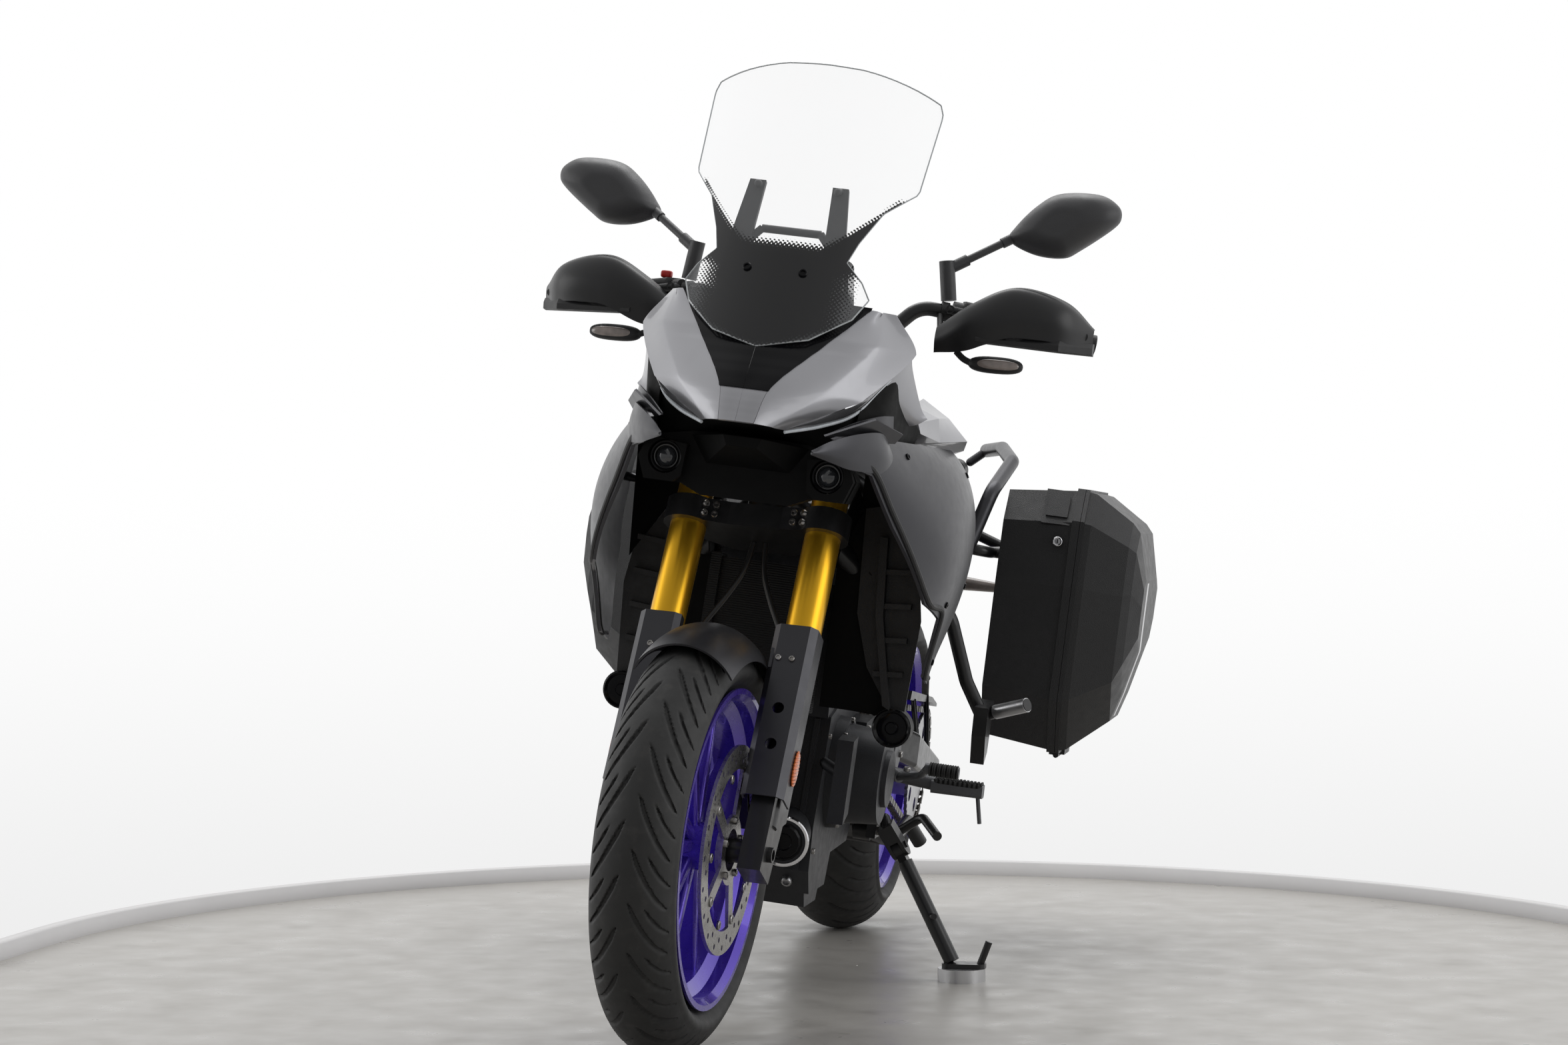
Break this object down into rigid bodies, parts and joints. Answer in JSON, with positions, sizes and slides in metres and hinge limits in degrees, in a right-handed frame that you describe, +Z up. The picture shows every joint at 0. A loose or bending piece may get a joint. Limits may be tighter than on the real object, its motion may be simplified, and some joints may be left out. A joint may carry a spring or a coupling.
{
  "type": "sport touring motorcycle",
  "caption": "Sport touring motorcycle leaning on its side stand, with fairing, clear windscreen, hand guards and hard side cases that open; wheels turn, steering and stands move.",
  "frame": {"origin": "middle of the bounding box, on the floor", "axes": "+Z up from the floor, +Y from the front wheel to the rear wheel, +X to the rider's left, the side it leans to"},
  "size_m": [1.0402, 2.1493, 1.4468],
  "materials": {
    "case_carriers": "black",
    "case_lid_left": "black",
    "case_lid_right": "black",
    "case_shell_left": "black",
    "case_shell_right": "black",
    "centre_stand": "black",
    "drive_chain": "steel",
    "engine": "dark grey castings",
    "exhaust": "dark steel",
    "fairing_left": "satin dark grey",
    "fairing_right": "satin dark grey",
    "fork_sliders": "chrome and black castings",
    "fork_tubes": "gold anodised",
    "front_calipers": "black",
    "front_discs": "drilled steel",
    "front_ducts": "black",
    "front_fender": "satin dark grey",
    "front_indicators": "smoked lens",
    "front_rim": "violet blue metallic",
    "front_sprocket": "steel",
    "front_tyre": "tyre rubber",
    "fuel_tank": "satin dark grey",
    "grab_rails": "dark grey",
    "hand_grips": "rubber",
    "hand_guards": "black",
    "handlebar": "black",
    "headlamps": "clear lens",
    "instrument_panel": "black display",
    "lamp_panel": "black",
    "main_frame": "satin black",
    "mirrors": "dark grey",
    "nose_cowl": "silver grey",
    "nose_panel": "gloss black",
    "passenger_footrests": "black",
    "passenger_seat": "black cover",
    "plate_holder": "black",
    "radiator": "black fins",
    "rear_caliper": "black",
    "rear_disc": "steel",
    "rear_indicators": "smoked lens",
    "rear_rim": "violet blue metallic",
    "rear_shock": "black spring",
    "rear_sprocket": "steel",
    "rear_tyre": "tyre rubber",
    "rider_footrests": "grey casting",
    "rider_seat": "black cover",
    "screen_mount": "black",
    "side_stand": "black",
    "stand_bracket": "black",
    "stand_puck": "turned",
    "swingarm": "satin black",
    "switchgear": "black",
    "tail_cowl": "black",
    "tail_light": "red lens",
    "tank_covers": "silver grey",
    "triple_clamps": "black",
    "windscreen": "clear"
  },
  "bodies": {
    "chassis": {"case_carriers": "case_carriers", "case_shell_left": "case_shell_left", "case_shell_right": "case_shell_right", "drive_chain": "drive_chain", "engine": "engine", "exhaust": "exhaust", "fairing_left": "fairing_left", "fairing_right": "fairing_right", "front_ducts": "front_ducts", "front_sprocket": "front_sprocket", "fuel_tank": "fuel_tank", "grab_rails": "grab_rails", "headlamps": "headlamps", "instrument_panel": "instrument_panel", "lamp_panel": "lamp_panel", "main_frame": "main_frame", "nose_cowl": "nose_cowl", "nose_panel": "nose_panel", "passenger_footrests": "passenger_footrests", "passenger_seat": "passenger_seat", "plate_holder": "plate_holder", "radiator": "radiator", "rear_caliper": "rear_caliper", "rear_indicators": "rear_indicators", "rear_shock": "rear_shock", "rider_footrests": "rider_footrests", "rider_seat": "rider_seat", "screen_mount": "screen_mount", "stand_bracket": "stand_bracket", "swingarm": "swingarm", "tail_cowl": "tail_cowl", "tail_light": "tail_light", "tank_covers": "tank_covers", "windscreen": "windscreen"},
    "fork": {"fork_tubes": "fork_tubes", "fork_sliders": "fork_sliders", "triple_clamps": "triple_clamps", "handlebar": "handlebar", "hand_grips": "hand_grips", "switchgear": "switchgear", "mirrors": "mirrors", "hand_guards": "hand_guards", "front_indicators": "front_indicators", "front_fender": "front_fender", "front_calipers": "front_calipers"},
    "front_wheel": {"front_tyre": "front_tyre", "front_rim": "front_rim", "front_discs": "front_discs"},
    "rear_wheel": {"rear_tyre": "rear_tyre", "rear_rim": "rear_rim", "rear_disc": "rear_disc", "rear_sprocket": "rear_sprocket"},
    "side_stand": {"side_stand": "side_stand", "stand_puck": "stand_puck"},
    "centre_stand": {"centre_stand": "centre_stand"},
    "left_lid": {"case_lid_left": "case_lid_left"},
    "right_lid": {"case_lid_right": "case_lid_right"}
  },
  "joints": [
    {"name": "steering", "type": "hinge", "parent": "chassis", "child": "fork", "pos_m": [-0.05706, -0.73547, 0.28002], "axis": [0.1183, 0.4228, 0.8985], "range_deg": [-25.7, 34.3]},
    {"name": "front_wheel_spin", "type": "hinge", "parent": "fork", "child": "front_wheel", "pos_m": [-0.05791, -0.77524, 0.29884], "axis": [0.9928, -0.068, -0.0987], "continuous": true},
    {"name": "rear_wheel_spin", "type": "hinge", "parent": "chassis", "child": "rear_wheel", "pos_m": [-0.05268, 0.71966, 0.3131], "axis": [0.9914, 0, -0.1305], "continuous": true},
    {"name": "side_stand_fold", "type": "hinge", "parent": "chassis", "child": "side_stand", "pos_m": [0.11996, 0.07464, 0.21482], "axis": [0.8826, -0.0699, 0.4648], "range_deg": [0, 92]},
    {"name": "centre_stand_drop", "type": "hinge", "parent": "chassis", "child": "centre_stand", "pos_m": [-0.06051, 0.13965, 0.2537], "axis": [-0.9914, 0, 0.1305], "range_deg": [0, 80], "stiffness_Nm_per_rad": 8, "springref_deg": -20.05},
    {"name": "left_case_opening", "type": "hinge", "parent": "chassis", "child": "left_lid", "pos_m": [0.34086, 0.59466, 0.342], "axis": [0, 1, -0.0002], "range_deg": [0, 75]},
    {"name": "right_case_opening", "type": "hinge", "parent": "chassis", "child": "right_lid", "pos_m": [-0.42533, 0.59467, 0.44287], "axis": [0, -1, 0.0002], "range_deg": [0, 75]}
  ]
}
